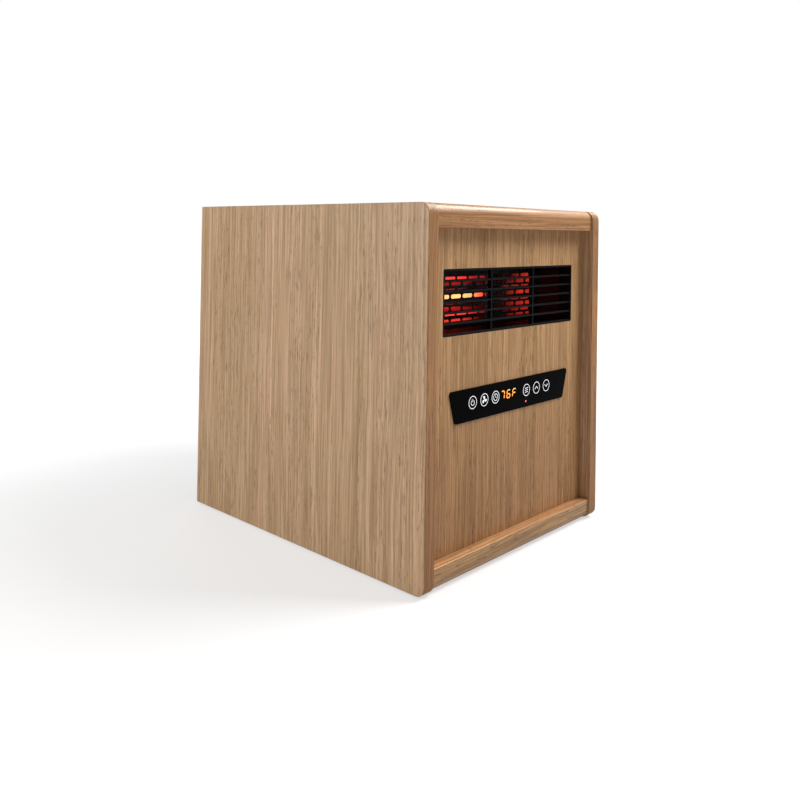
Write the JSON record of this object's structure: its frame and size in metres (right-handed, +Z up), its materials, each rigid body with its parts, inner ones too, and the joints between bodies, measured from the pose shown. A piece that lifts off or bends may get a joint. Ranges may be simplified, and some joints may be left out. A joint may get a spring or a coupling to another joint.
{
  "type": "cabinet space heater",
  "caption": "Oak veneer cabinet heater: louvred outlet over glowing quartz tubes, touch panel with display, cross-flow blower and a rear filter that slides up.",
  "frame": {"origin": "middle of the footprint, on the floor under the feet", "axes": "+Z up, the front faces -Y, +X is on the right of someone who looks at the front"},
  "size_m": [0.4, 0.48, 0.47],
  "materials": {
    "veneer_side": "light oak veneer, upright grain, satin",
    "veneer_top": "light oak veneer, satin",
    "veneer_front": "light oak veneer, upright grain, satin",
    "rail_wood": "solid light oak, level grain, satin",
    "board_core": "bare particle board and pine",
    "back_board": "oak foil on board, matt",
    "foot_rubber": "moulded black rubber",
    "screw_steel": "zinc plated",
    "grille_plastic": "heat-proof black plastic, fine texture",
    "duct_black": "black enamel",
    "guard_steel": "dark heat-proof paint",
    "polished_steel": "bright rolled steel",
    "reflector_metal": "bright, heat tinted",
    "quartz": "clear quartz",
    "filament_wire": "glowing wire",
    "ceramic": "white steatite ceramic",
    "bracket_steel": "zinc coated sheet",
    "limiter_parts": "plain metal can",
    "rotor_metal": "bare sheet",
    "shaft_steel": "ground",
    "motor_steel": "black lacquer",
    "control_glass": "gloss black, printed symbols",
    "tray_plastic": "black plastic",
    "circuit_board": "green solder mask",
    "display_plastic": "dark epoxy with amber digits",
    "contact_metal": "plated spring wire",
    "lamp_red": "red lens",
    "intake_plastic": "black plastic, fine texture",
    "filter_plastic": "dark grey plastic",
    "filter_cloth": "nylon mesh",
    "switch_plastic": "black plastic",
    "gland_plastic": "black nylon",
    "relay_plastic": "moulded plastic",
    "transformer_parts": "varnished core and tape",
    "sink_aluminium": "extruded",
    "tip_switch_metal": "zinc plated",
    "loom_rubber": "black sleeve"
  },
  "bodies": {
    "cabinet": {"back_panel": "back_board", "back_screws": "screw_steel", "blower_end_left": "bracket_steel", "blower_end_right": "bracket_steel", "blower_housing": "bracket_steel", "blower_motor": "motor_steel", "board_relays": "relay_plastic", "board_standoffs": "gland_plastic", "board_transformer": "transformer_parts", "bottom_rail": "rail_wood", "cabinet_base": "board_core", "ceramic_holders": "ceramic", "control_board": "circuit_board", "control_glass": "control_glass", "control_loom": "loom_rubber", "control_tray": "tray_plastic", "cord_gland": "gland_plastic", "corner_blocks": "board_core", "display_block": "display_plastic", "feet": "foot_rubber", "filter_guide": "intake_plastic", "foot_screws": "screw_steel", "front_panel": "veneer_front", "guard_screen": "guard_steel", "hanger_brackets": "bracket_steel", "heat_sink": "sink_aluminium", "heater_box": "polished_steel", "heater_loom": "loom_rubber", "intake_grille": "intake_plastic", "left_side_panel": "veneer_side", "outlet_duct": "duct_black", "outlet_grille": "grille_plastic", "power_board": "circuit_board", "quartz_tube_lower": "quartz", "quartz_tube_middle": "quartz", "quartz_tube_upper": "quartz", "reflector": "reflector_metal", "right_side_panel": "veneer_side", "rocker_housing": "switch_plastic", "shaft_bearings": "shaft_steel", "status_lamp": "lamp_red", "terminal_block": "relay_plastic", "thermal_cutout": "limiter_parts", "thermal_fuse": "limiter_parts", "tip_microswitch": "switch_plastic", "tip_switch_frame": "tip_switch_metal", "tip_switch_pin": "shaft_steel", "top_panel": "veneer_top", "top_rail": "rail_wood", "touch_contacts": "contact_metal", "tube_brackets": "bracket_steel", "tube_filaments": "filament_wire"},
    "rotor": {"blower_rotor": "rotor_metal", "rotor_shaft": "shaft_steel"},
    "filter": {"filter_frame": "filter_plastic", "filter_mesh": "filter_cloth"},
    "rocker": {"rocker_button": "switch_plastic"},
    "tip_weight": {"tip_switch_weight": "tip_switch_metal"}
  },
  "joints": [
    {"name": "rotor_spin", "type": "hinge", "parent": "cabinet", "child": "rotor", "pos_m": [0, 0.01, 0.346], "axis": [1, 0, 0], "continuous": true},
    {"name": "filter_slide", "type": "slide", "parent": "cabinet", "child": "filter", "axis": [0, 0, 1], "range_m": [0, 0.2]},
    {"name": "rocker_press", "type": "hinge", "parent": "cabinet", "child": "rocker", "pos_m": [0.13, 0.224, 0.08], "axis": [1, 0, 0], "range_deg": [-16, 0]},
    {"name": "tip_swing", "type": "hinge", "parent": "cabinet", "child": "tip_weight", "pos_m": [0.11, 0.09, 0.074], "axis": [1, 0, 0], "range_deg": [-12, 12]}
  ]
}
